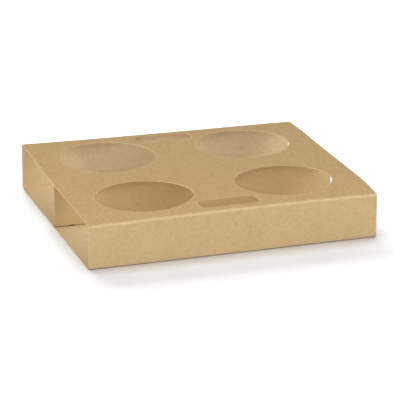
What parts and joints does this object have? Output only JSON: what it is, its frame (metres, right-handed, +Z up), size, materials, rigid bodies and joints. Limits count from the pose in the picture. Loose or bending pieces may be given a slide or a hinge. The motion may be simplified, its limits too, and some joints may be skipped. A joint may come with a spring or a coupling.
{
  "type": "cardboard cup carrier",
  "caption": "Low open-ended carrier folded from one kraft card sheet, with round cup holes and finger slots in its top over a middle web.",
  "frame": {"origin": "middle of the footprint, on the surface that the carrier stands on", "axes": "+X along the two open-ended cells, +Y from the front wall to the back wall, +Z up"},
  "size_m": [0.242, 0.22, 0.038],
  "materials": {
    "kraft_board": "matt unbleached kraft board"
  },
  "bodies": {
    "root": {"cup_carrier": "kraft_board"}
  },
  "joints": []
}
